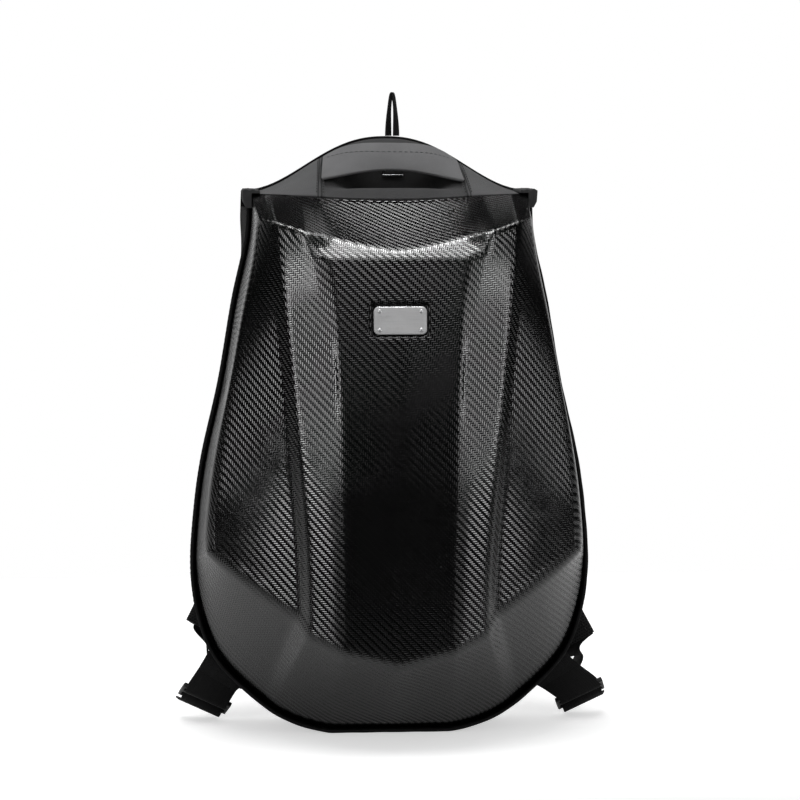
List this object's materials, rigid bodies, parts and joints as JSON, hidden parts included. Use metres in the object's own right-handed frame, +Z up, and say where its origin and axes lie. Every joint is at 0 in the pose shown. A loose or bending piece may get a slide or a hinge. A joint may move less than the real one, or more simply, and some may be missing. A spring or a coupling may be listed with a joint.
{
  "type": "motorcycle backpack",
  "caption": "Motorcycle backpack with a moulded carbon-look front shell, fabric sides and top, padded back, arched haul handle and adjustable padded shoulder straps.",
  "frame": {"origin": "on the floor, under the middle of the bag's bounding box", "axes": "+Z up, the shell faces -Y and the wearer's back is towards +Y, +X is to the right as seen from in front of the shell"},
  "size_m": [0.3712, 0.2428, 0.5338],
  "materials": {
    "carbon_shell": "satin black carbon twill skin",
    "binding_tape": "black woven tape",
    "bag_cloth": "dark grey woven nylon",
    "padding": "black padded mesh cloth",
    "handle_cloth": "grey woven nylon",
    "webbing": "black ribbed webbing",
    "pull_metal": "plain metal",
    "plate_metal": "brushed",
    "lock_plastic": "moulded black plastic"
  },
  "bodies": {
    "root": {"shell_front": "carbon_shell", "shell_wing_left": "carbon_shell", "shell_wing_right": "carbon_shell", "shell_chin": "carbon_shell", "shell_crown": "carbon_shell", "edge_binding": "binding_tape", "side_gusset": "bag_cloth", "top_panel": "bag_cloth", "back_panel": "padding", "haul_handle": "handle_cloth", "hang_loop": "webbing", "zip_pull": "pull_metal", "name_plate": "plate_metal", "plate_rivet_1": "plate_metal", "plate_rivet_2": "plate_metal", "plate_rivet_3": "plate_metal", "plate_rivet_4": "plate_metal", "corner_tab_left": "bag_cloth", "shoulder_strap_left": "padding", "strap_webbing_left": "webbing", "ladder_lock_left": "lock_plastic", "anchor_webbing_left": "webbing", "corner_tab_right": "bag_cloth", "shoulder_strap_right": "padding", "strap_webbing_right": "webbing", "ladder_lock_right": "lock_plastic", "anchor_webbing_right": "webbing"}
  },
  "joints": []
}
